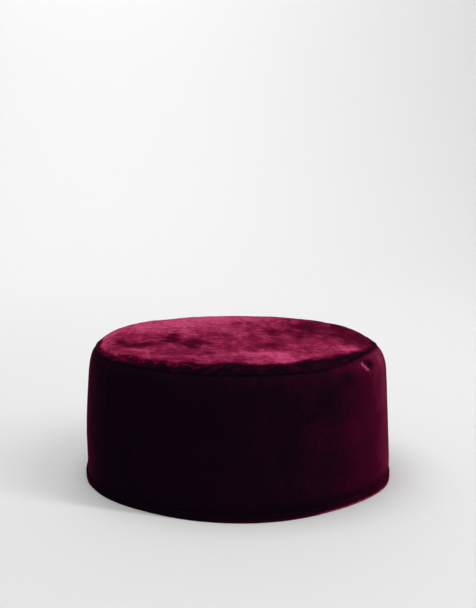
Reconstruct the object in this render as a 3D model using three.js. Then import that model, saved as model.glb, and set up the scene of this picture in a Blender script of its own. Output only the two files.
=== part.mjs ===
import * as THREE from 'three';

// A velvet pillbox hat: a soft round top, a stiffened side band that leans in at its shoulder, and a folded
// binding round the rim. The three are turned shapes, which are then let sag and pucker together.
// Millimetres, +Z up, the rim stands on z = 0, and the front of the hat faces -Y.

const { degToRad, radToDeg, euclideanModulo, smoothstep } = THREE.MathUtils;

// Driving dimensions
const hatRadius = 95; // outside of the wall
const hatHeight = 85.5; // rim to the highest part of the top
const wallThickness = 2.4; // velvet on its stiffening, in the side band
const topThickness = 2.2; // velvet on its stiffening, in the round top
const sewnClearance = 0.3; // between pieces of cloth that are sewn together
const seamDrop = 5.8; // from the highest part of the top down to the top seam
const seamInset = 6.7; // from the wall's radius in to the top seam
const seamAllowance = 8; // the top's cloth turned in under itself at the seam
const seamLip = 0.9; // how far each cloth edge rounds into the seam
const rollWidth = 12.3; // the top's rounded edge, from its flat out to the seam
const rollShoulder = 6.5; // where that rounding is fullest, in from the seam
const topSag = 1.2; // the middle of the top hangs this far below its edge
const bindingHeight = 4.8; // outside of the rim
const facingHeight = 8; // inside of the rim
const bindingCloth = 1.3; // velvet of the binding
const bindingProud = 0.6; // the binding stands out this far from the wall
const bindingCorner = 1.2; // rounding of its lower corners
const tongueThickness = 1.9; // the band's pressed edge, held in the binding
const wallDraw = 0.3; // the stitching draws the wall in this far, just above the binding
const drawHeight = 9; // above the binding, up to where the wall has its full radius

// Smoothness of the faceted surfaces
const sides = 72; // round the hat
const roundSteps = 3; // along each small rounding

const seamRadius = hatRadius - seamInset;
const seamHeight = hatHeight - seamDrop;

// The wall's outside, from the binding (up 0) to the top seam (up 1). Lean is a share of seamInset.
const wallSections = [
  { up: 0.0, lean: 0.0 },
  { up: 0.28, lean: 0.05 },
  { up: 0.52, lean: 0.16 },
  { up: 0.68, lean: 0.24 },
  { up: 0.79, lean: 0.33 },
  { up: 0.88, lean: 0.46 },
  { up: 0.95, lean: 0.66 },
  { up: 1.0, lean: 1.0 },
];

// Hollows in the top, and where deep is negative, swellings. Turn runs from the front towards +X, in degrees.
// Out, along and across are shares of seamRadius, and deep is a share of seamDrop.
const topHollows = [
  { turn: 286, out: 0.5, along: 0.18, across: 0.14, deep: 0.3 },
  { turn: 325, out: 0.44, along: 0.13, across: 0.13, deep: 0.22 },
  { turn: 294, out: 0.78, along: 0.15, across: 0.1, deep: 0.22 },
  { turn: 124, out: 0.66, along: 0.25, across: 0.15, deep: 0.28 },
  { turn: 95, out: 0.84, along: 0.26, across: 0.11, deep: 0.2 },
  { turn: 27, out: 0.52, along: 0.17, across: 0.13, deep: 0.18 },
  { turn: 48, out: 0.93, along: 0.36, across: 0.09, deep: 0.3 },
  { turn: 322, out: 0.95, along: 0.34, across: 0.07, deep: -0.17 },
  { turn: 5, out: 0.72, along: 0.34, across: 0.11, deep: -0.14 },
  { turn: 215, out: 0.6, along: 0.4, across: 0.2, deep: -0.12 },
  { turn: 248, out: 0.92, along: 0.4, across: 0.14, deep: -0.12 },
];
const hollowReach = 14; // a hollow in the top fades out this far below the seam

// Soft dents and swellings of the wall. Turn and spread are in degrees, up and reach are shares of hatHeight,
// and out is a share of wallThickness.
const wallSways = [
  { turn: 52, spread: 7, up: 0.9, reach: 0.05, out: -0.35 },
  { turn: 78, spread: 16, up: 0.88, reach: 0.09, out: 0.25 },
  { turn: 270, spread: 26, up: 0.12, reach: 0.14, out: -0.2 },
  { turn: 300, spread: 20, up: 0.72, reach: 0.2, out: -0.18 },
  { turn: 20, spread: 24, up: 0.55, reach: 0.25, out: 0.15 },
  { turn: 165, spread: 28, up: 0.6, reach: 0.25, out: -0.2 },
  { turn: 225, spread: 24, up: 0.8, reach: 0.15, out: 0.2 },
];

const at = (radius, height) => new THREE.Vector2(radius, height);

// A rounded corner of a profile, as points from start to end
function roundOff(start, corner, end, steps = roundSteps) {
  return new THREE.QuadraticBezierCurve(start, corner, end).getPoints(steps);
}

const gauss = (distance, spread) => Math.exp(-((distance / spread) ** 2));
const turnBetween = (a, b) => euclideanModulo(a - b + 180, 360) - 180;

// How far the top sinks at a place
function hollowAt(turn, radius) {
  let sink = 0;
  for (const hollow of topHollows) {
    const along = degToRad(turnBetween(turn, hollow.turn)) * hollow.out * seamRadius;
    const across = radius - hollow.out * seamRadius;
    sink += hollow.deep * seamDrop
      * gauss(along, hollow.along * seamRadius) * gauss(across, hollow.across * seamRadius);
  }
  return sink;
}

// How far the wall bows out at a place
function swayAt(turn, height) {
  let bow = 0;
  for (const sway of wallSways) {
    bow += sway.out * wallThickness * gauss(turnBetween(turn, sway.turn), sway.spread)
      * gauss(height - sway.up * hatHeight, sway.reach * hatHeight);
  }
  return bow;
}

// Moves a point of the turned shapes to where the soft cloth has settled
function settle(point) {
  const radius = Math.hypot(point.x, point.y);
  const turn = radToDeg(Math.atan2(point.x, -point.y));
  const nearTop = smoothstep(point.z, seamHeight - hollowReach, seamHeight);
  const onWall = smoothstep(radius, seamRadius - seamAllowance, seamRadius)
    * smoothstep(point.z, bindingHeight, bindingHeight + drawHeight);
  const stretch = radius > 0 ? 1 + (onWall * swayAt(turn, point.z)) / radius : 1;
  return point.set(point.x * stretch, point.y * stretch, point.z - nearTop * hollowAt(turn, radius));
}

// A profile of radii and heights, turned round +Z and settled
function turnedCloth(profile) {
  const geometry = new THREE.LatheGeometry(profile, sides).rotateX(Math.PI / 2);
  const places = geometry.getAttribute('position');
  const point = new THREE.Vector3();
  for (let i = 0; i < places.count; i++) {
    settle(point.fromBufferAttribute(places, i));
    places.setXYZ(i, point.x, point.y, point.z);
  }
  geometry.computeVertexNormals();
  return geometry;
}

// Height of the top's outside, in from its rounded edge
function flatHeight(radius) {
  return hatHeight - topSag * (1 - smoothstep(radius, 0, seamRadius - rollWidth));
}

// The round top: its edge rolls over and is turned in at the seam
function crownTopProfile() {
  const base = seamHeight + sewnClearance / 2;
  const fold = seamRadius - seamAllowance;
  const flat = seamRadius - rollWidth;
  const under = [0, 0.35, 0.62, 0.84, 1].map((share) => {
    const radius = share * (fold - seamLip);
    return at(radius, flatHeight(radius) - topThickness);
  });
  const lip = roundOff(
    at(seamRadius - seamLip, base),
    at(seamRadius, base),
    at(seamRadius, base + seamLip / 2),
  );
  const roll = roundOff(
    at(seamRadius, base + seamLip / 2),
    at(seamRadius - rollShoulder, hatHeight),
    at(flat, hatHeight),
    2 * roundSteps,
  );
  const upper = [0.9, 0.8, 0.69, 0.57, 0.43, 0.28, 0.13, 0].map((share) => {
    return at(share * flat, flatHeight(share * flat));
  });
  return [...under, at(fold, base), ...lip, ...roll.slice(1), ...upper];
}

// The wall's outside as a smooth curve between two heights
function wallCurve(foot, crest) {
  return new THREE.SplineCurve(wallSections.map(({ up, lean }) => {
    return at(hatRadius - seamInset * lean, THREE.MathUtils.lerp(foot, crest, up));
  }));
}

// The side band: its upper edge meets the top at the seam, and its lower edge is pressed thin in the binding
function sideBandProfile() {
  const crest = seamHeight - sewnClearance / 2;
  const foot = bindingCloth + sewnClearance;
  const ledge = bindingHeight + sewnClearance;
  const tongue = hatRadius + bindingProud - bindingCloth - sewnClearance;
  const curve = wallCurve(ledge + drawHeight, crest - seamLip / 2);
  const steps = 2 * (wallSections.length - 1);
  const outside = curve.getPoints(steps);
  const inside = outside
    .map((place, i) => {
      const along = curve.getTangent(i / steps);
      return at(place.x - along.y * wallThickness, place.y + along.x * wallThickness);
    })
    .filter((place, i) => i % 2 === 0 && place.y < crest - wallThickness)
    .reverse();
  const lip = roundOff(outside.at(-1), at(seamRadius - seamLip / 2, crest), at(seamRadius - seamLip, crest));
  return [
    at(tongue, foot),
    at(tongue, ledge),
    at(hatRadius - wallDraw, ledge),
    ...outside,
    ...lip.slice(1),
    at(seamRadius - wallThickness, crest),
    ...inside,
    at(tongue - tongueThickness, ledge),
    at(tongue - tongueThickness, foot),
    at(tongue, foot),
  ];
}

// The binding: a strip of velvet folded round the band's lower edge
function rimBindingProfile() {
  const outer = hatRadius + bindingProud;
  const gripOut = outer - bindingCloth;
  const gripIn = gripOut - 2 * sewnClearance - tongueThickness;
  const inner = gripIn - bindingCloth;
  return [
    ...roundOff(at(outer - bindingCorner, 0), at(outer, 0), at(outer, bindingCorner)),
    at(outer, bindingHeight / 2),
    ...roundOff(at(outer, bindingHeight - bindingCorner), at(outer, bindingHeight), at(gripOut, bindingHeight)),
    at(gripOut, bindingCloth),
    at(gripIn, bindingCloth),
    ...roundOff(at(gripIn, facingHeight), at(inner, facingHeight), at(inner, facingHeight - bindingCorner)),
    at(inner, facingHeight / 2),
    ...roundOff(at(inner, bindingCorner), at(inner, 0), at(inner + bindingCorner, 0)),
    at(outer - bindingCorner, 0),
  ];
}

function cloth(name, profile, colour) {
  const velvet = new THREE.MeshStandardMaterial({ color: colour, roughness: 0.9, metalness: 0 });
  const piece = new THREE.Mesh(turnedCloth(profile), velvet);
  piece.name = name;
  return piece;
}

const hat = new THREE.Group();
hat.add(cloth('crown_top', crownTopProfile(), 0x7d1f45));
hat.add(cloth('side_band', sideBandProfile(), 0x4a0b28));
hat.add(cloth('rim_binding', rimBindingProfile(), 0x570d30));

export default hat;
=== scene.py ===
import math
import bmesh
import bpy
import numpy as np
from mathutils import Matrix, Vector, noise
from mathutils.geometry import interpolate_bezier


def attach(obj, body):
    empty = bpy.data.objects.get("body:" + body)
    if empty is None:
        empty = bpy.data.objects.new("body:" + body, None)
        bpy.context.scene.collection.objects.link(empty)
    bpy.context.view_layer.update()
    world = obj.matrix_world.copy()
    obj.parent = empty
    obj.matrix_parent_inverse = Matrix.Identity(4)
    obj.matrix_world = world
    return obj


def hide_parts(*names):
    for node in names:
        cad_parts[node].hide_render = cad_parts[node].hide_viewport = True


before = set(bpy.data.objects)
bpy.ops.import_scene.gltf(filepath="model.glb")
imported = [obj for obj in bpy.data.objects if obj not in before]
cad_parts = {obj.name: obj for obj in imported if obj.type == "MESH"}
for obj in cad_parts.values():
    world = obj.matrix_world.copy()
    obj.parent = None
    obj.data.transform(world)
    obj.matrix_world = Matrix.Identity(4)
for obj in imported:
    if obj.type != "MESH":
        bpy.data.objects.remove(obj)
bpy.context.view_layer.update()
print("frame loaded")

mm = 0.001

# A soft velvet hat: round top, side band, and a folded binding round the rim. The front faces -Y.
hat = {
    "radius": 95 * mm,
    "height": 85.5 * mm,
    "wall": 2.4 * mm,
    "clearance": 0.12 * mm,
    "seamDrop": 5.8 * mm,
    "seamInset": 6.7 * mm,
    "seamLip": 0.45 * mm,
    "turnedIn": 8 * mm,  # the top's cloth inside the seam
    "drawHeight": 9 * mm,  # above the binding, up to where the wall has its full radius
    "sides": 360,
}
hat["seamRadius"] = hat["radius"] - hat["seamInset"]
hat["seamHeight"] = hat["height"] - hat["seamDrop"]


# Small helpers for soft shapes
def gauss(distance, spread):
    return np.exp(-((distance / spread) ** 2))


def smoothStep(value, low, high):
    share = np.clip((value - low) / (high - low), 0, 1)
    return share * share * (3 - 2 * share)


def turnBetween(a, b):
    return (a - b + 180) % 360 - 180


def corner(start, bend, end, steps):
    near = start.lerp(bend, 2 / 3)
    far = end.lerp(bend, 2 / 3)
    return interpolate_bezier(start, near, far, end, steps)


def smoothLine(places, steps):
    line = []
    for i in range(len(places) - 1):
        before = places[max(i - 1, 0)]
        start, end = places[i], places[i + 1]
        after = places[min(i + 2, len(places) - 1)]
        near, far = start + (end - before) / 6, end - (after - start) / 6
        stretch = interpolate_bezier(start, near, far, end, steps)
        line += stretch if i == 0 else stretch[1:]
    return line


def place(radius, height):
    return Vector((0, -radius, height))


def turnedPiece(name, profile, closed):
    bm = bmesh.new()
    points = [bm.verts.new(p) for p in profile]
    ring = list(zip(points, points[1:])) + ([(points[-1], points[0])] if closed else [])
    edges = [bm.edges.new(pair) for pair in ring]
    bmesh.ops.spin(bm, geom=points + edges, cent=(0, 0, 0), axis=(0, 0, 1), angle=math.tau,
                   steps=hat["sides"], use_merge=True, use_duplicate=False)
    bmesh.ops.remove_doubles(bm, verts=bm.verts, dist=0.001 * mm)
    bmesh.ops.recalc_face_normals(bm, faces=bm.faces)
    mesh = bpy.data.meshes.new(name)
    bm.to_mesh(mesh)
    bm.free()
    mesh.shade_smooth()
    piece = bpy.data.objects.new(name, mesh)
    bpy.context.collection.objects.link(piece)
    return piece


def readPoints(piece):
    points = np.empty(len(piece.data.vertices) * 3)
    piece.data.vertices.foreach_get("co", points)
    return points.reshape(-1, 3)


def writePoints(piece, points):
    piece.data.vertices.foreach_set("co", points.ravel())
    piece.data.update()


def pushOut(points, radius, out):
    points[:, :2] *= (1 + out / np.maximum(radius, mm))[:, None]


def ruffle(points, scale, octaves, shift):
    wander = Vector((shift, 0, 0))
    return np.array([noise.fractal(Vector(p * scale) + wander, 1.0, 2.0, octaves) for p in points])


def flecked(points, base, contrast, scale, octaves, shift):
    return np.clip(base + contrast * ruffle(points, scale, octaves, shift), 0, 1)


def turnsAndRadii(points):
    return np.degrees(np.arctan2(points[:, 0], -points[:, 1])), np.hypot(points[:, 0], points[:, 1])


# How the cloth has settled. Turn runs from the front towards +X, in degrees.
# Out, along and across are shares of the seam's radius, and deep is a share of seamDrop.
topHollows = [
    {"turn": 286, "out": 0.5, "along": 0.18, "across": 0.14, "deep": 0.3},
    {"turn": 325, "out": 0.44, "along": 0.13, "across": 0.13, "deep": 0.22},
    {"turn": 294, "out": 0.78, "along": 0.15, "across": 0.1, "deep": 0.22},
    {"turn": 124, "out": 0.66, "along": 0.25, "across": 0.15, "deep": 0.28},
    {"turn": 95, "out": 0.84, "along": 0.26, "across": 0.11, "deep": 0.2},
    {"turn": 27, "out": 0.52, "along": 0.17, "across": 0.13, "deep": 0.18},
    {"turn": 48, "out": 0.93, "along": 0.36, "across": 0.09, "deep": 0.3},
    {"turn": 322, "out": 0.95, "along": 0.34, "across": 0.07, "deep": -0.17},
    {"turn": 5, "out": 0.72, "along": 0.34, "across": 0.11, "deep": -0.14},
    {"turn": 215, "out": 0.6, "along": 0.4, "across": 0.2, "deep": -0.12},
    {"turn": 248, "out": 0.92, "along": 0.4, "across": 0.14, "deep": -0.12},
    {"turn": 255, "out": 0.88, "along": 0.9, "across": 0.16, "deep": -0.09},
    {"turn": 97, "out": 0.93, "along": 0.24, "across": 0.1, "deep": 0.14},
    {"turn": 122, "out": 0.92, "along": 0.45, "across": 0.12, "deep": -0.1},
    {"turn": 274, "out": 0.96, "along": 0.2, "across": 0.1, "deep": -0.12},
]
hollowReach = 14 * mm  # a hollow fades out this far below the seam

# Dents and swellings of the wall. Turn and spread in degrees, up and reach as shares of the height,
# and out as a share of the wall's thickness.
wallSways = [
    {"turn": 52, "spread": 7, "up": 0.9, "reach": 0.05, "out": -0.35},
    {"turn": 78, "spread": 16, "up": 0.88, "reach": 0.09, "out": 0.25},
    {"turn": 270, "spread": 26, "up": 0.12, "reach": 0.14, "out": -0.2},
    {"turn": 300, "spread": 20, "up": 0.72, "reach": 0.2, "out": -0.18},
    {"turn": 20, "spread": 24, "up": 0.55, "reach": 0.25, "out": 0.15},
    {"turn": 165, "spread": 28, "up": 0.6, "reach": 0.25, "out": -0.2},
    {"turn": 225, "spread": 24, "up": 0.8, "reach": 0.15, "out": 0.2},
]

# Gathers where the top is eased into the seam: spread in degrees, reach inwards in metres, depth in metres
seamGathers = [
    {"turn": -62, "spread": 1.9, "reach": 9 * mm, "deep": 0.55 * mm},
    {"turn": -55, "spread": 1.6, "reach": 7 * mm, "deep": 0.6 * mm},
    {"turn": -47, "spread": 1.8, "reach": 10 * mm, "deep": 0.75 * mm},
    {"turn": -40, "spread": 1.4, "reach": 6 * mm, "deep": 0.5 * mm},
    {"turn": -33, "spread": 1.7, "reach": 8 * mm, "deep": 0.6 * mm},
    {"turn": -22, "spread": 1.5, "reach": 6 * mm, "deep": 0.35 * mm},
    {"turn": 8, "spread": 1.6, "reach": 7 * mm, "deep": 0.3 * mm},
    {"turn": 66, "spread": 2.0, "reach": 8 * mm, "deep": 0.6 * mm},
    {"turn": 79, "spread": 2.4, "reach": 10 * mm, "deep": 0.9 * mm},
    {"turn": 104, "spread": 1.8, "reach": 7 * mm, "deep": 0.4 * mm},
    {"turn": 131, "spread": 1.6, "reach": 8 * mm, "deep": 0.5 * mm},
    {"turn": 158, "spread": 1.9, "reach": 6 * mm, "deep": 0.4 * mm},
    {"turn": 187, "spread": 1.5, "reach": 7 * mm, "deep": 0.45 * mm},
    {"turn": 214, "spread": 1.8, "reach": 9 * mm, "deep": 0.5 * mm},
    {"turn": 246, "spread": 1.6, "reach": 6 * mm, "deep": 0.4 * mm},
    {"turn": 274, "spread": 1.9, "reach": 8 * mm, "deep": 0.5 * mm},
]

# Where the stitching pulls the seam in and up
seamPulls = [
    {"turn": 58, "spread": 24, "drawn": 2.5 * mm, "up": 1.7 * mm},
    {"turn": 66, "spread": 14, "drawn": 0.4 * mm, "up": 1.2 * mm},
    {"turn": 80, "spread": 12, "drawn": 1.1 * mm, "up": 1.2 * mm},
    {"turn": 225, "spread": 30, "drawn": 0.5 * mm, "up": 0.5 * mm},
]
pullReach = 7.5 * mm
pullFlatness = 1.3  # a pull reaches further along the radius than in height

# Where the rim bulges or is pushed in
rimSways = [
    {"turn": 6, "spread": 22, "out": 1.9 * mm},
    {"turn": -34, "spread": 13, "out": -1.0 * mm},
    {"turn": 38, "spread": 11, "out": -0.5 * mm},
    {"turn": 68, "spread": 15, "out": 1.6 * mm},
    {"turn": 172, "spread": 22, "out": 0.9 * mm},
    {"turn": 128, "spread": 18, "out": -0.8 * mm},
]
rimFade = (4 * mm, 34 * mm)  # heights between which a bulge of the rim dies out


def pullAt(turn, radius, height):
    away = np.hypot(radius - hat["seamRadius"], (height - hat["seamHeight"]) * pullFlatness)
    near = gauss(away, pullReach)
    drawn = np.zeros_like(turn)
    up = np.zeros_like(turn)
    for pull in seamPulls:
        share = gauss(turnBetween(turn, pull["turn"]), pull["spread"]) * near
        drawn += pull["drawn"] * share
        up += pull["up"] * share
    return drawn, up


def rimAt(turn, height):
    out = np.zeros_like(turn)
    for sway in rimSways:
        out += sway["out"] * gauss(turnBetween(turn, sway["turn"]), sway["spread"])
    return out * (1 - smoothStep(height, *rimFade))


def hollowAt(turn, radius):
    sink = np.zeros_like(radius)
    for hollow in topHollows:
        middle = hollow["out"] * hat["seamRadius"]
        along = np.radians(turnBetween(turn, hollow["turn"])) * middle
        dent = gauss(along, hollow["along"] * hat["seamRadius"])
        dent = dent * gauss(radius - middle, hollow["across"] * hat["seamRadius"])
        sink += hollow["deep"] * hat["seamDrop"] * dent
    return sink


def swayAt(turn, height):
    bow = np.zeros_like(height)
    for sway in wallSways:
        bulge = gauss(turnBetween(turn, sway["turn"]), sway["spread"])
        bulge = bulge * gauss(height - sway["up"] * hat["height"], sway["reach"] * hat["height"])
        bow += sway["out"] * hat["wall"] * bulge
    return bow


def gatherAt(turn, fromSeam):
    pinch = np.zeros_like(turn)
    for gather in seamGathers:
        fold = gauss(turnBetween(turn, gather["turn"]), gather["spread"])
        pinch += gather["deep"] * fold * gauss(fromSeam, gather["reach"])
    return pinch


def settle(points, wallFoot):
    turn, radius = turnsAndRadii(points)
    height = points[:, 2].copy()
    nearTop = smoothStep(height, hat["seamHeight"] - hollowReach, hat["seamHeight"])
    onWall = smoothStep(radius, hat["seamRadius"] - hat["turnedIn"], hat["seamRadius"])
    onWall = onWall * smoothStep(height, wallFoot, wallFoot + hat["drawHeight"])
    drawn, up = pullAt(turn, radius, height)
    pushOut(points, radius, onWall * swayAt(turn, height) + rimAt(turn, height) - drawn)
    points[:, 2] += up - nearTop * hollowAt(turn, radius)
    return turn, radius, height


# Round top. Its edge rolls over and is turned in at the seam.
top = {
    "thickness": 2.2 * mm,
    "rollWidth": 12.3 * mm,
    "rollShoulder": 6.5 * mm,
    "sag": 1.2 * mm,
    "rings": 76,
    "underRings": 20,
    "ledgeRings": 5,
    "lipRings": 6,
    "rollRings": 18,
    "crumple": 0.28 * mm,
    "crumpleScale": 55,
    "ripple": 0.1 * mm,
    "rippleScale": 190,
    "rippleStretch": (0.45, 1.3, 1.0),
    "sewnFlat": (0.5 * mm, 3 * mm),  # from the seam, where the cloth begins to crumple and where it is free
    "outsideDepth": 2 * mm,  # in the middle, whatever is deeper than this is the underside
    "pinchFade": 1.5 * mm,
    "pinchDraw": 0.5,  # share of a gather's depth by which it draws the cloth in
}


def flatHeight(radius):
    sunk = 1 - smoothStep(np.array(radius), 0, hat["seamRadius"] - top["rollWidth"])
    return hat["height"] - top["sag"] * float(sunk)


def topProfile():
    seam, lip = hat["seamRadius"], hat["seamLip"]
    base = hat["seamHeight"] + hat["clearance"] / 2
    fold = seam - hat["turnedIn"]
    flat = seam - top["rollWidth"]
    underRadii = [fold * i / top["underRings"] for i in range(top["underRings"])]
    under = [place(radius, flatHeight(radius) - top["thickness"]) for radius in underRadii]
    ledgeStep = (seam - lip - fold) / top["ledgeRings"]
    ledge = [place(fold + ledgeStep * i, base) for i in range(top["ledgeRings"])]
    start, end = place(seam, base + lip / 2), place(flat, hat["height"])
    lipBend = corner(place(seam - lip, base), place(seam, base), start, top["lipRings"])
    roll = corner(start, place(seam - top["rollShoulder"], hat["height"]), end, top["rollRings"])
    upperRadii = [flat * (1 - i / top["rings"]) for i in range(1, top["rings"] + 1)]
    upper = [place(radius, flatHeight(radius)) for radius in upperRadii]
    return under + ledge + lipBend + roll[1:] + upper


def makeTop():
    piece = turnedPiece("crown_velvet", topProfile(), closed=False)
    points = readPoints(piece)
    turn, radius, height = settle(points, wallFoot=0)
    base = hat["seamHeight"] + hat["clearance"]
    upper = height > np.interp(radius, [0, hat["seamRadius"]], [hat["height"] - top["outsideDepth"], base])
    fromSeam = np.hypot(hat["seamRadius"] - radius, height - base)
    free = upper * smoothStep(fromSeam, *top["sewnFlat"])
    soft = ruffle(points, top["crumpleScale"], octaves=4, shift=3.7) * top["crumple"]
    fine = ruffle(points * np.array(top["rippleStretch"]), top["rippleScale"], octaves=3, shift=11.2)
    points[:, 2] += free * (soft + fine * top["ripple"])
    pinch = gatherAt(turn, fromSeam) * upper * smoothStep(fromSeam, 0, top["pinchFade"])
    points[:, 2] -= pinch
    pushOut(points, radius, -top["pinchDraw"] * pinch)
    writePoints(piece, points)
    return piece


crown = makeTop()
print("top made")

# Side band. Its small upright gathers come and go round the seam, and are strongest at the left front.
band = {
    "drawnIn": 0.3 * mm,
    "tongue": 1.9 * mm,
    "wallRings": 11,  # in each stretch between two sections
    "insideEvery": 6,  # the inside has one ring for so many of the outside's
    "insideTop": 16,  # and leaves out so many under the seam
    "lipRings": 5,
    "crumple": 0.3 * mm,
    "crumpleScale": 24,
    "ripple": 0.07 * mm,
    "rippleScale": 150,
    "rippleStretch": (1.0, 1.0, 0.35),
    "footFade": 6 * mm,
    "sewnFlat": (0.3 * mm, 3 * mm),
    "gatherDeep": 0.11 * mm,
    "gatherTurns": 4.3,  # degrees from one to the next
    "gatherUneven": 1.8,
    "gatherCrowds": 5,  # times round the hat that they crowd together
    "gatherReach": 17 * mm,
    "gatherMean": 0.55,
    "gatherSwing": 0.45,
    "gatherSwells": 3,  # times round the hat that they grow and fade
    "gatherFrom": 40,
    "gatherLeft": {"turn": -68, "spread": 16, "more": 0.5},
}
# Binding, folded round the band's pressed edge
binding = {
    "height": 4.8 * mm,
    "facing": 8 * mm,
    "slack": 0.3 * mm,  # room between the band and the inner fold
    "cloth": 1.3 * mm,
    "proud": 0.6 * mm,
    "corner": 0.8 * mm,
    "outsideRings": (0.1, 0.25, 0.45, 0.7),  # shares of the height between its two outer corners
    "outerSteps": 7,
    "innerSteps": 5,
    "wave": 0.3 * mm,
    "waveScale": 30,
    "stitchSpan": 3.4,  # degrees from one stitch to the next
    "stitchCrowds": 7,  # times round the hat that they crowd together
    "stitchDeep": 0.12 * mm,
}

# The wall's outside, from the binding (up 0) to the top seam (up 1). Lean is a share of seamInset.
wallSections = [
    {"up": 0.0, "lean": 0.0},
    {"up": 0.28, "lean": 0.05},
    {"up": 0.52, "lean": 0.16},
    {"up": 0.68, "lean": 0.24},
    {"up": 0.79, "lean": 0.33},
    {"up": 0.88, "lean": 0.46},
    {"up": 0.95, "lean": 0.66},
    {"up": 1.0, "lean": 1.0},
]


def bandProfile():
    seam, lip = hat["seamRadius"], hat["seamLip"]
    crest = hat["seamHeight"] - hat["clearance"] / 2
    foot = binding["cloth"] + hat["clearance"]
    ledge = binding["height"] + hat["clearance"]
    tongue = hat["radius"] + binding["proud"] - binding["cloth"] - hat["clearance"]
    drawn = ledge + hat["drawHeight"]
    rise = crest - lip / 2 - drawn
    sections = [place(hat["radius"] - band["drawnIn"], ledge)]
    for section in wallSections:
        radius = hat["radius"] - hat["seamInset"] * section["lean"]
        sections.append(place(radius, drawn + rise * section["up"]))
    outside = smoothLine(sections, band["wallRings"])
    lipBend = corner(outside[-1], place(seam - lip / 2, crest), place(seam - lip, crest), band["lipRings"])
    inside = []
    for i in range(band["insideEvery"], len(outside) - band["insideTop"], band["insideEvery"]):
        along = (outside[i + 1] - outside[i]).normalized()
        inside.append(outside[i] + Vector((0, along.z, -along.y)) * hat["wall"])
    pressed = [place(tongue, foot), place(tongue, ledge)]
    pressedInside = [place(tongue - band["tongue"], ledge), place(tongue - band["tongue"], foot)]
    crestInside = place(seam - hat["wall"], crest)
    return pressed + outside + lipBend[1:] + [crestInside] + inside[::-1] + pressedInside


def makeBand():
    piece = turnedPiece("band_velvet", bandProfile(), closed=True)
    points = readPoints(piece)
    turn, radius, height = settle(points, binding["height"])
    ledge = binding["height"] + hat["clearance"]
    fromSeam = hat["seamHeight"] - height
    free = smoothStep(height, ledge, ledge + band["footFade"]) * smoothStep(fromSeam, *band["sewnFlat"])
    soft = ruffle(points, band["crumpleScale"], octaves=4, shift=7.9) * band["crumple"]
    fine = ruffle(points * np.array(band["rippleStretch"]), band["rippleScale"], octaves=3, shift=1.3)
    left = band["gatherLeft"]
    swell = np.sin(np.radians(turn * band["gatherSwells"] + band["gatherFrom"]))
    share = band["gatherMean"] + band["gatherSwing"] * swell
    share += left["more"] * gauss(turnBetween(turn, left["turn"]), left["spread"])
    uneven = band["gatherUneven"] * np.sin(np.radians(band["gatherCrowds"] * turn))
    comb = np.sin(math.tau * turn / band["gatherTurns"] + uneven)
    comb = comb * share * band["gatherDeep"] * gauss(fromSeam, band["gatherReach"])
    pushOut(points, radius, free * (soft + fine * band["ripple"] + comb))
    writePoints(piece, points)
    return piece


side = makeBand()
print("band made")


def bindingProfile():
    outer = hat["radius"] + binding["proud"]
    gripOut = outer - binding["cloth"]
    gripIn = gripOut - 2 * hat["clearance"] - band["tongue"] - binding["slack"]
    inner = gripIn - binding["cloth"]
    bend, tall, facing = binding["corner"], binding["height"], binding["facing"]
    outerSteps, innerSteps = binding["outerSteps"], binding["innerSteps"]
    outside = corner(place(outer - bend, 0), place(outer, 0), place(outer, bend), outerSteps)
    outside += [place(outer, bend + (tall - 2 * bend) * share) for share in binding["outsideRings"]]
    outside += corner(place(outer, tall - bend), place(outer, tall), place(gripOut, tall), outerSteps)
    inside = corner(place(gripIn, facing), place(inner, facing), place(inner, facing - bend), innerSteps)
    inside += corner(place(inner, bend), place(inner, 0), place(inner + bend, 0), innerSteps)
    return outside + [place(gripOut, binding["cloth"]), place(gripIn, binding["cloth"])] + inside


def makeBinding():
    piece = turnedPiece("binding_velvet", bindingProfile(), closed=True)
    points = readPoints(piece)
    turn, radius = turnsAndRadii(points)
    height = points[:, 2].copy()
    outer = hat["radius"] + binding["proud"]
    shell = smoothStep(radius, outer - binding["cloth"], outer)
    soft = ruffle(points, binding["waveScale"], octaves=3, shift=5.1) * binding["wave"]
    uneven = np.sin(np.radians(binding["stitchCrowds"] * turn))
    stitch = 0.5 + 0.5 * np.cos(math.tau * turn / binding["stitchSpan"] + uneven)
    puff = shell * (soft - binding["stitchDeep"] * stitch * smoothStep(height, mm, binding["height"]))
    pushOut(points, radius, puff + rimAt(turn, height))
    writePoints(piece, points)
    return piece


rim = makeBinding()
print("binding made")

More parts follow.
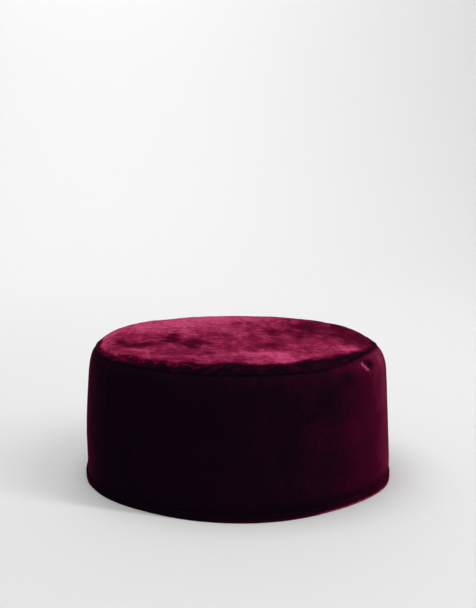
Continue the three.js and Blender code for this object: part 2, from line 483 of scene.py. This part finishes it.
# Lighter and darker patches of painted sheen on the top, following the lay of the pile. Tone runs from 0,
# where no sheen is painted, to 1, where the painted sheen is brightest.
# Places and sizes are in millimetres, seen from above.
napSheenPatches = [
    {"at": (-50, 44), "size": (46, 34), "tone": 0.42},
    {"at": (-4, 70), "size": (34, 16), "tone": 0.34},
    {"at": (-82, -8), "size": (9, 26), "tone": 0.46},
    {"at": (14, -60), "size": (27, 12), "tone": 0.39},
    {"at": (24, -70), "size": (16, 6), "tone": 0.2},
    {"at": (-60, -43), "size": (12, 8), "tone": 0.22},
    {"at": (-34, -66), "size": (22, 6), "tone": 0.14},
    {"at": (56, -38), "size": (16, 15), "tone": 0.2},
    {"at": (8, -24), "size": (10, 16), "tone": 0.1},
    {"at": (-43, -3), "size": (8, 9), "tone": -0.55},
    {"at": (-32, -10), "size": (8, 6), "tone": -0.25},
    {"at": (-24, -20), "size": (5, 12), "tone": -0.85},
    {"at": (-61, -26), "size": (8, 7), "tone": -0.62},
    {"at": (-52, -22), "size": (8, 7), "tone": -0.22},
    {"at": (47, 38), "size": (6, 12), "tone": -0.45},
    {"at": (27, 22), "size": (8, 11), "tone": -0.28},
    {"at": (46, 8), "size": (18, 16), "tone": -0.28},
    {"at": (73, -10), "size": (12, 22), "tone": -0.5},
    {"at": (66, 20), "size": (12, 18), "tone": -0.25},
    {"at": (20, -33), "size": (9, 6), "tone": -0.22},
    {"at": (-24, -54), "size": (10, 7), "tone": -0.18},
    {"at": (70, 52), "size": (16, 22), "tone": -0.42},
    {"at": (73, -35), "size": (9, 8), "tone": 0.3},
]

# The painted sheen ends a little in from the seam, further in where inward is above 0; past it the rolled
# edge is left dark as painted shade
sheenEdges = [
    {"turn": 42, "spread": 20, "inward": 3.4 * mm},
    {"turn": -1, "spread": 14, "inward": 2.1 * mm},
    {"turn": -67, "spread": 22, "inward": -3.6 * mm},
    {"turn": 72, "spread": 10, "inward": -2.6 * mm},
]
topPileAndSheen = {
    "plain": 0.5,  # tone between the patches
    "least": 0.12,
    "most": 0.95,
    "drift": 9 * mm,  # how far noise carries the patches' edges
    "patchPower": 1.15,
    "cloud": 0.24,
    "cloudStretch": (1.8, 0.6, 1.0),
    "brightCalm": 0.6,  # where the painted sheen is bright the pile is less cloudy, from the first of these tones to the second
    "brightTones": (0.5, 0.9),
    "edgeInset": 6.4 * mm,
    "edgeWander": 1.7 * mm,
    "edgeFade": 1.6 * mm,
    "blend": 1 * mm,
    "blendMore": {"turn": 48, "spread": 24, "share": 2.4},
    "seamPaintedLight": 0.1,  # painted light beside the seam, at the right
    "seamLightGrows": (18, 70),
    "seamLightFades": (100, 130),
    "seamLightRadii": (86 * mm, 87 * mm),
    "fleckHighlight": 0.36,  # painted highlights, bright specks past the edge, at the left front
    "fleckSide": {"turn": -36, "spread": 28},
    "fleckGrows": 1 * mm,
    "fleckFades": (2 * mm, 5 * mm),
    "roll": 0.06,
    "rollRadii": (82 * mm, 84 * mm),
}


def sheenEdge(points, turn):
    edge = hat["seamRadius"] - topPileAndSheen["edgeInset"]
    edge = edge + topPileAndSheen["edgeWander"] * ruffle(points, scale=110, octaves=5, shift=8.8)
    for shift in sheenEdges:
        edge -= shift["inward"] * gauss(turnBetween(turn, shift["turn"]), shift["spread"])
    return edge


def rollToneAndPaintedLight(points, turn, radius, edge):
    # painted light on the roll beside the seam, at the right
    seamLight = smoothStep(turn, *topPileAndSheen["seamLightGrows"]) * (1 - smoothStep(turn, *topPileAndSheen["seamLightFades"]))
    seamLight *= smoothStep(radius, *topPileAndSheen["seamLightRadii"])
    side = topPileAndSheen["fleckSide"]
    past = radius - edge
    # painted highlights in specks past the sheen's edge, at the left front
    highlightSpecks = flecked(points, base=0.1, contrast=2.4, scale=480, octaves=2, shift=14.1)
    highlightSpecks *= gauss(turnBetween(turn, side["turn"]), side["spread"])
    highlightSpecks *= smoothStep(past, 0, topPileAndSheen["fleckGrows"]) * (1 - smoothStep(past, *topPileAndSheen["fleckFades"]))
    cloud = flecked(points, base=0, contrast=1, scale=200, octaves=4, shift=6.6)
    cloud *= smoothStep(radius, *topPileAndSheen["rollRadii"])
    return topPileAndSheen["seamPaintedLight"] * seamLight + topPileAndSheen["fleckHighlight"] * highlightSpecks + topPileAndSheen["roll"] * cloud


def topTone(points):
    turn, radius = turnsAndRadii(points)
    drift = np.stack([ruffle(points, scale=42, octaves=4, shift=shift) for shift in (21.3, 33.9)], axis=1)
    spot = points[:, :2] + drift * topPileAndSheen["drift"]
    tone = np.full(len(points), topPileAndSheen["plain"])
    for patch in napSheenPatches:
        away = (spot - np.array(patch["at"]) * mm) / (np.array(patch["size"]) * mm)
        tone += patch["tone"] * np.exp(-((away ** 2).sum(axis=1) ** topPileAndSheen["patchPower"]))
    cloud = ruffle(points * np.array(topPileAndSheen["cloudStretch"]), scale=75, octaves=5, shift=2.2)
    calm = topPileAndSheen["brightCalm"] * smoothStep(tone, *topPileAndSheen["brightTones"])
    tone += topPileAndSheen["cloud"] * cloud * (1 - calm)
    edge = sheenEdge(points, turn)
    more = topPileAndSheen["blendMore"]
    blend = topPileAndSheen["blend"] * (1 + more["share"] * gauss(turnBetween(turn, more["turn"]), more["spread"]))
    # painted shade: past the sheen's edge the rolled edge loses its painted sheen
    paintedSheenMask = 1 - smoothStep(radius, edge - blend, edge + topPileAndSheen["edgeFade"])
    return np.clip(tone, topPileAndSheen["least"], topPileAndSheen["most"]) * paintedSheenMask + rollToneAndPaintedLight(points, turn, radius, edge)


# Painted light round the wall: the tone rises towards the right side, as if lit from there, and is lowest
# at the left front. Turns run up from -180.
bandPaintedLight = [
    {"turn": -180, "tone": 0.4},
    {"turn": -90, "tone": 0.2},
    {"turn": -40, "tone": 0.18},
    {"turn": 0, "tone": 0.27},
    {"turn": 22, "tone": 0.34},
    {"turn": 30, "tone": 0.38},
    {"turn": 48, "tone": 0.6},
    {"turn": 60, "tone": 0.77},
    {"turn": 70, "tone": 0.88},
    {"turn": 82, "tone": 0.9},
    {"turn": 95, "tone": 0.84},
    {"turn": 120, "tone": 0.7},
    {"turn": 180, "tone": 0.4},
]

# Spots on the wall. The first three are the painted highlight of a pinch in the shoulder and the fourth its
# painted shade; the seventh is the painted shade of a small dent, and the rest are lighter and darker
# patches.
# Turn and spread in degrees, up and reach in metres.
bandSpotsAndPaintedPinch = [
    {"turn": 55.8, "spread": 0.9, "up": 77.6 * mm, "reach": 1.1 * mm, "tone": 0.52},
    {"turn": 56.2, "spread": 0.8, "up": 76.3 * mm, "reach": 1.1 * mm, "tone": 0.44},
    {"turn": 57.0, "spread": 1.0, "up": 75.0 * mm, "reach": 1.2 * mm, "tone": 0.56},
    {"turn": 59.8, "spread": 1.9, "up": 77.2 * mm, "reach": 1.8 * mm, "tone": -0.75},
    {"turn": 44, "spread": 7.0, "up": 78.0 * mm, "reach": 2.0 * mm, "tone": 0.12},
    {"turn": 38.5, "spread": 2.2, "up": 77.0 * mm, "reach": 3.0 * mm, "tone": 0.12},
    {"turn": 43.2, "spread": 4.4, "up": 74.5 * mm, "reach": 4.5 * mm, "tone": -0.19},
    {"turn": 51, "spread": 6.0, "up": 77.5 * mm, "reach": 3.5 * mm, "tone": 0.12},
    {"turn": 38, "spread": 9.0, "up": 67.0 * mm, "reach": 10.0 * mm, "tone": -0.09},
    {"turn": 44, "spread": 5.0, "up": 42.0 * mm, "reach": 12.0 * mm, "tone": 0.08},
    {"turn": 64, "spread": 12.0, "up": 66.0 * mm, "reach": 26.0 * mm, "tone": 0.07},
    {"turn": 76, "spread": 12.0, "up": 78.0 * mm, "reach": 9.0 * mm, "tone": 0.06},
    {"turn": 74, "spread": 13.0, "up": 12.0 * mm, "reach": 10.0 * mm, "tone": 0.05},
]
bandPileAndPaintedShade = {
    "cloud": 0.36,
    "streak": 0.6,  # upright streaks on the left shoulder
    "streakStretch": (1, 1, 0.12),
    "streakSide": {"turn": -72, "spread": 18, "from": 40 * mm, "to": 66 * mm},
    # painted shade where the wall dives into the seam
    "seamPaintedShade": 0.4,
    "seamShadeReach": 1.1 * mm,
    "creasePaintedShade": 0.4,  # painted shade in the crease over the binding
    "creaseMean": 0.7,
    "creaseCloud": 0.5,
    "creaseUp": 6.5 * mm,
    "creaseReach": 2.6 * mm,
    "threadHighlight": 0.22,  # painted highlight, a faint light line under the seam, at the left front
    "threadSide": {"turn": -28, "spread": 38},
    "threadDrop": 1.4 * mm,
    "threadReach": 0.6 * mm,
}
# Painted highlight along the foot of the binding, growing towards the right
rimPileAndHighlight = {
    "share": 0.7,  # of the wall's tone
    "cloud": 0.4,
    "highlightRises": [{"from": -30, "to": 10, "tone": 0.5}, {"from": 5, "to": 50, "tone": 0.4}],
    "fades": (85, 130),
    "highlightUp": 0.5 * mm,
    "highlightReach": 1 * mm,
}


def wallPaintedLight(turn):
    return np.interp(turn, [lie["turn"] for lie in bandPaintedLight], [lie["tone"] for lie in bandPaintedLight])


def seamHeightAt(turn):
    atSeam = np.full_like(turn, hat["seamRadius"])
    return hat["seamHeight"] + pullAt(turn, atSeam, hat["seamHeight"])[1]


def bandTone(points):
    turn = turnsAndRadii(points)[0]
    height = points[:, 2]
    overSeam = height - seamHeightAt(turn)
    # painted light: the wall is lighter on its right side
    tone = wallPaintedLight(turn)
    tone *= 1 + bandPileAndPaintedShade["cloud"] * (1 - tone) * ruffle(points, scale=60, octaves=5, shift=6.1)
    side = bandPileAndPaintedShade["streakSide"]
    streaks = ruffle(points * np.array(bandPileAndPaintedShade["streakStretch"]), scale=260, octaves=3, shift=12.6)
    streaks *= gauss(turnBetween(turn, side["turn"]), side["spread"])
    tone += bandPileAndPaintedShade["streak"] * streaks * smoothStep(height, side["from"], side["to"])
    # painted shade in the seam
    tone *= 1 - bandPileAndPaintedShade["seamPaintedShade"] * gauss(overSeam, bandPileAndPaintedShade["seamShadeReach"])
    cloud = ruffle(points, scale=210, octaves=3, shift=5.5)
    # painted shade in the crease over the binding
    crease = gauss(height - bandPileAndPaintedShade["creaseUp"], bandPileAndPaintedShade["creaseReach"])
    tone *= 1 - bandPileAndPaintedShade["creasePaintedShade"] * crease * (bandPileAndPaintedShade["creaseMean"] + bandPileAndPaintedShade["creaseCloud"] * cloud)
    # painted highlight: a faint light line under the seam
    side = bandPileAndPaintedShade["threadSide"]
    threadHighlight = flecked(points, base=0.4, contrast=1.8, scale=120, octaves=3, shift=9.4)
    threadHighlight *= gauss(turnBetween(turn, side["turn"]), side["spread"])
    tone += bandPileAndPaintedShade["threadHighlight"] * threadHighlight * gauss(overSeam + bandPileAndPaintedShade["threadDrop"], bandPileAndPaintedShade["threadReach"])
    # spots, with the painted highlight and shade of the pinch and the painted shade of a dent
    for spot in bandSpotsAndPaintedPinch:
        near = gauss(turnBetween(turn, spot["turn"]), spot["spread"])
        tone += spot["tone"] * near * gauss(height - spot["up"], spot["reach"])
    return np.clip(tone, 0, 1)


def bindingTone(points):
    turn = turnsAndRadii(points)[0]
    # the binding takes a share of the wall's painted light
    tone = rimPileAndHighlight["share"] * wallPaintedLight(turn)
    tone *= 1 + rimPileAndHighlight["cloud"] * ruffle(points, scale=80, octaves=3, shift=4.4)
    # painted highlight along the foot of the binding
    fold = sum(rise["tone"] * smoothStep(turn, rise["from"], rise["to"]) for rise in rimPileAndHighlight["highlightRises"])
    fold *= gauss(points[:, 2] - rimPileAndHighlight["highlightUp"], rimPileAndHighlight["highlightReach"])
    fold *= 1 - smoothStep(turn, *rimPileAndHighlight["fades"])
    return np.clip(tone + fold, 0, 1)


# Colours by tone, from 0 to 1. Tone is uneven by mottleShare, which dies out towards calmTone.
# The wall's colours: near black, with upper stops for its painted light on the right and the painted
# highlight of the pinch.
wallColoursWithPaintedLight = [(0, (0.004, 0.0024, 0.007)), (0.3, (0.009, 0.0024, 0.0075)), (0.6, (0.036, 0.002, 0.0125)),
            (0.8, (0.058, 0.0026, 0.017)), (0.93, (0.12, 0.009, 0.034)), (0.97, (0.18, 0.016, 0.05)),
            (1, (0.38, 0.055, 0.105))]
# The top's colours, far lighter than the wall's, carry the painted sheen of the pile seen at a grazing
# angle.
topColoursWithPaintedSheen = [(0, (0.0053, 0.0018, 0.0054)), (0.14, (0.06, 0.0014, 0.013)), (0.5, (0.19, 0.0092, 0.042)),
              (0.78, (0.34, 0.031, 0.092)), (1, (0.5, 0.066, 0.17))]
velvets = {
    "top": {"piece": crown, "slot": "top_velvet", "tone": topTone, "colours": topColoursWithPaintedSheen,
            "mottle": (280, 400, 300), "mottleShare": 0.95, "calmTone": 1.3,
            "sheen": 0.12, "sheenTint": (1.0, 0.08, 0.28, 1), "sheenRoughness": 0.35},
    "band": {"piece": side, "slot": "band_velvet", "tone": bandTone, "colours": wallColoursWithPaintedLight,
             "mottle": (440, 440, 230), "mottleShare": 0.4, "calmTone": 1.03,
             "sheen": 0.19, "sheenTint": (1.0, 0.08, 0.26, 1), "sheenRoughness": 0.18},
    "binding": {"piece": rim, "slot": "binding_velvet", "tone": bindingTone, "colours": wallColoursWithPaintedLight,
                "mottle": (420, 420, 420), "mottleShare": 0.3, "calmTone": 1.3,
                "sheen": 0.16, "sheenTint": (1.0, 0.1, 0.28, 1), "sheenRoughness": 0.18},
}
dust = {"scale": 28.0, "full": 0.012, "gone": 0.016, "cover": 0.7, "colour": (0.06, 0.04, 0.045, 1)}


def addNode(tree, kind, **settings):
    node = tree.nodes.new(kind)
    for key, value in settings.items():
        if hasattr(node, key):
            setattr(node, key, value)
        else:
            node.inputs[key.replace("_", " ")].default_value = value
    return node


def makeVelvet(name, look):
    material = bpy.data.materials.new(name + " velvet")
    material.use_nodes = True
    tree = material.node_tree
    link = tree.links.new
    shader = tree.nodes["Principled BSDF"]
    where = addNode(tree, "ShaderNodeTexCoord")
    # the tone carries the pile's colour with its painted light, shade and highlights
    tone = addNode(tree, "ShaderNodeAttribute", attribute_name="pile_and_painted_light")
    stretch = addNode(tree, "ShaderNodeMapping", Scale=look["mottle"])
    mottle = addNode(tree, "ShaderNodeTexNoise", Scale=1.0, Detail=4.0, Roughness=0.7)
    pile = addNode(tree, "ShaderNodeTexNoise", Scale=1500.0, Detail=2.0, Roughness=0.6)
    link(where.outputs["Object"], stretch.inputs["Vector"])
    link(stretch.outputs["Vector"], mottle.inputs["Vector"])
    link(where.outputs["Object"], pile.inputs["Vector"])
    depth = addNode(tree, "ShaderNodeAttribute", attribute_name="unevenness")
    speckle = addNode(tree, "ShaderNodeMapRange", From_Min=0.25, From_Max=0.75, To_Min=-1.0, To_Max=1.0)
    link(mottle.outputs["Fac"], speckle.inputs["Value"])
    both = addNode(tree, "ShaderNodeMath", operation="MULTIPLY_ADD")
    link(speckle.outputs["Result"], both.inputs[0])
    link(depth.outputs["Fac"], both.inputs[1])
    link(tone.outputs["Fac"], both.inputs[2])
    ramp = addNode(tree, "ShaderNodeValToRGB")
    stops = ramp.color_ramp.elements
    stops[1].position = look["colours"][1][0]
    for spot, _ in look["colours"][2:]:
        stops.new(spot)
    for stop, (spot, colour) in zip(stops, look["colours"]):
        stop.color = (*colour, 1)
    link(both.outputs["Value"], ramp.inputs["Fac"])
    crumbs = addNode(tree, "ShaderNodeTexVoronoi", Scale=dust["scale"])
    link(where.outputs["Object"], crumbs.inputs["Vector"])
    onCrumb = addNode(tree, "ShaderNodeMapRange", From_Min=dust["full"], From_Max=dust["gone"],
                      To_Min=dust["cover"], To_Max=0.0)
    link(crumbs.outputs["Distance"], onCrumb.inputs["Value"])
    dusted = addNode(tree, "ShaderNodeMix", data_type="RGBA")
    link(onCrumb.outputs["Result"], dusted.inputs[0])
    link(ramp.outputs["Color"], dusted.inputs[6])  # the first colour
    dusted.inputs[7].default_value = dust["colour"]  # the second colour
    link(dusted.outputs[2], shader.inputs["Base Color"])
    bump = addNode(tree, "ShaderNodeBump", Strength=0.35, Distance=0.0004)
    link(pile.outputs["Fac"], bump.inputs["Height"])
    soft = addNode(tree, "ShaderNodeBump", Strength=0.5, Distance=0.0008)
    link(mottle.outputs["Fac"], soft.inputs["Height"])
    link(bump.outputs["Normal"], soft.inputs["Normal"])
    link(soft.outputs["Normal"], shader.inputs["Normal"])
    shader.inputs["Roughness"].default_value = 1.0
    shader.inputs["Specular IOR Level"].default_value = 0.0
    shader.inputs["Sheen Weight"].default_value = look["sheen"]
    shader.inputs["Sheen Roughness"].default_value = look["sheenRoughness"]
    shader.inputs["Sheen Tint"].default_value = look["sheenTint"]
    tones = look["tone"](readPoints(look["piece"]))
    depths = look["mottleShare"] * tones * (look["calmTone"] - tones)
    for title, values in (("pile_and_painted_light", tones), ("unevenness", depths)):
        look["piece"].data.attributes.new(title, "FLOAT", "POINT").data.foreach_set("value", values)
    return material


for name, look in velvets.items():
    look["piece"].data.materials.append(makeVelvet(name, look))
print("velvet on")

for piece, node in ((crown, "crown_top"), (side, "side_band"), (rim, "rim_binding")):
    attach(piece, "root")
    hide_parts(node)
# Pale sweep of floor and wall
studio = {
    "back": 0.9,
    "front": -2.2,
    "side": 3.0,
    "bend": 0.8,
    "bendSteps": 24,
    "rise": 1.6,
    "tone": (0.8, 0.8, 0.8, 1),
}


def makeSweep():
    bm = bmesh.new()
    line = [Vector((0, studio["front"], 0)), Vector((0, studio["back"], 0))]
    low, high = line[-1], Vector((0, studio["back"] + studio["bend"], studio["bend"]))
    knee = Vector((0, studio["back"] + studio["bend"], 0))
    line += corner(low, knee, high, studio["bendSteps"])[1:] + [high + Vector((0, 0, studio["rise"]))]
    points = [bm.verts.new(p - Vector((studio["side"], 0, 0))) for p in line]
    edges = [bm.edges.new(pair) for pair in zip(points, points[1:])]
    strip = bmesh.ops.extrude_edge_only(bm, edges=edges)
    moved = [part for part in strip["geom"] if isinstance(part, bmesh.types.BMVert)]
    bmesh.ops.translate(bm, verts=moved, vec=(2 * studio["side"], 0, 0))
    bmesh.ops.recalc_face_normals(bm, faces=bm.faces)
    mesh = bpy.data.meshes.new("sweep")
    bm.to_mesh(mesh)
    bm.free()
    mesh.shade_smooth()
    sweep = bpy.data.objects.new("sweep", mesh)
    bpy.context.collection.objects.link(sweep)
    paper = bpy.data.materials.new("paper")
    paper.use_nodes = True
    shader = paper.node_tree.nodes["Principled BSDF"]
    shader.inputs["Base Color"].default_value = studio["tone"]
    shader.inputs["Roughness"].default_value = 0.95
    shader.inputs["Specular IOR Level"].default_value = 0.1
    mesh.materials.append(paper)


makeSweep()

# Soft studio light
lamps = {
    "key": {"from": (0.943, -0.391, 1.14), "to": (0, 0, 0.04), "size": (0.14, 1.1), "power": 7.6},
    "overhead": {"from": (-0.2, -0.05, 1.7), "to": (0, 0, 0.04), "size": (1.3, 1.3), "power": 14.0},
    "backdrop": {"from": (-0.45, 0.9, 1.45), "to": (-0.3, 1.9, 0.75), "size": (1.2, 0.8), "power": 10.8},
}


def makeLamp(name, lamp):
    light = bpy.data.lights.new(name, "AREA")
    light.shape = "RECTANGLE"
    light.size, light.size_y = lamp["size"]
    light.energy = lamp["power"]
    holder = bpy.data.objects.new(name, light)
    holder.location = lamp["from"]
    holder.rotation_euler = (Vector(lamp["to"]) - Vector(lamp["from"])).to_track_quat("-Z", "Y").to_euler()
    bpy.context.collection.objects.link(holder)


for name, lamp in lamps.items():
    makeLamp(name, lamp)

world = bpy.data.worlds.new("room")
world.use_nodes = True
world.node_tree.nodes["Background"].inputs["Color"].default_value = (1, 1, 1, 1)
world.node_tree.nodes["Background"].inputs["Strength"].default_value = 0.34
bpy.context.scene.world = world
bpy.context.scene.view_settings.view_transform = "Standard"
print("studio lit")

# Camera as in the photograph: about 60 cm in front of the hat, looking down a little
view = {"place": (0.00046, -0.5943, 0.1949), "down": 8.534, "lens": 56.93}
camera = bpy.data.objects.new("camera", bpy.data.cameras.new("camera"))
camera.data.lens = view["lens"]
camera.location = view["place"]
camera.rotation_euler = (math.radians(90 - view["down"]), 0, 0)
camera.data.clip_start = 0.01
bpy.context.collection.objects.link(camera)
bpy.context.scene.camera = camera

print("all made")
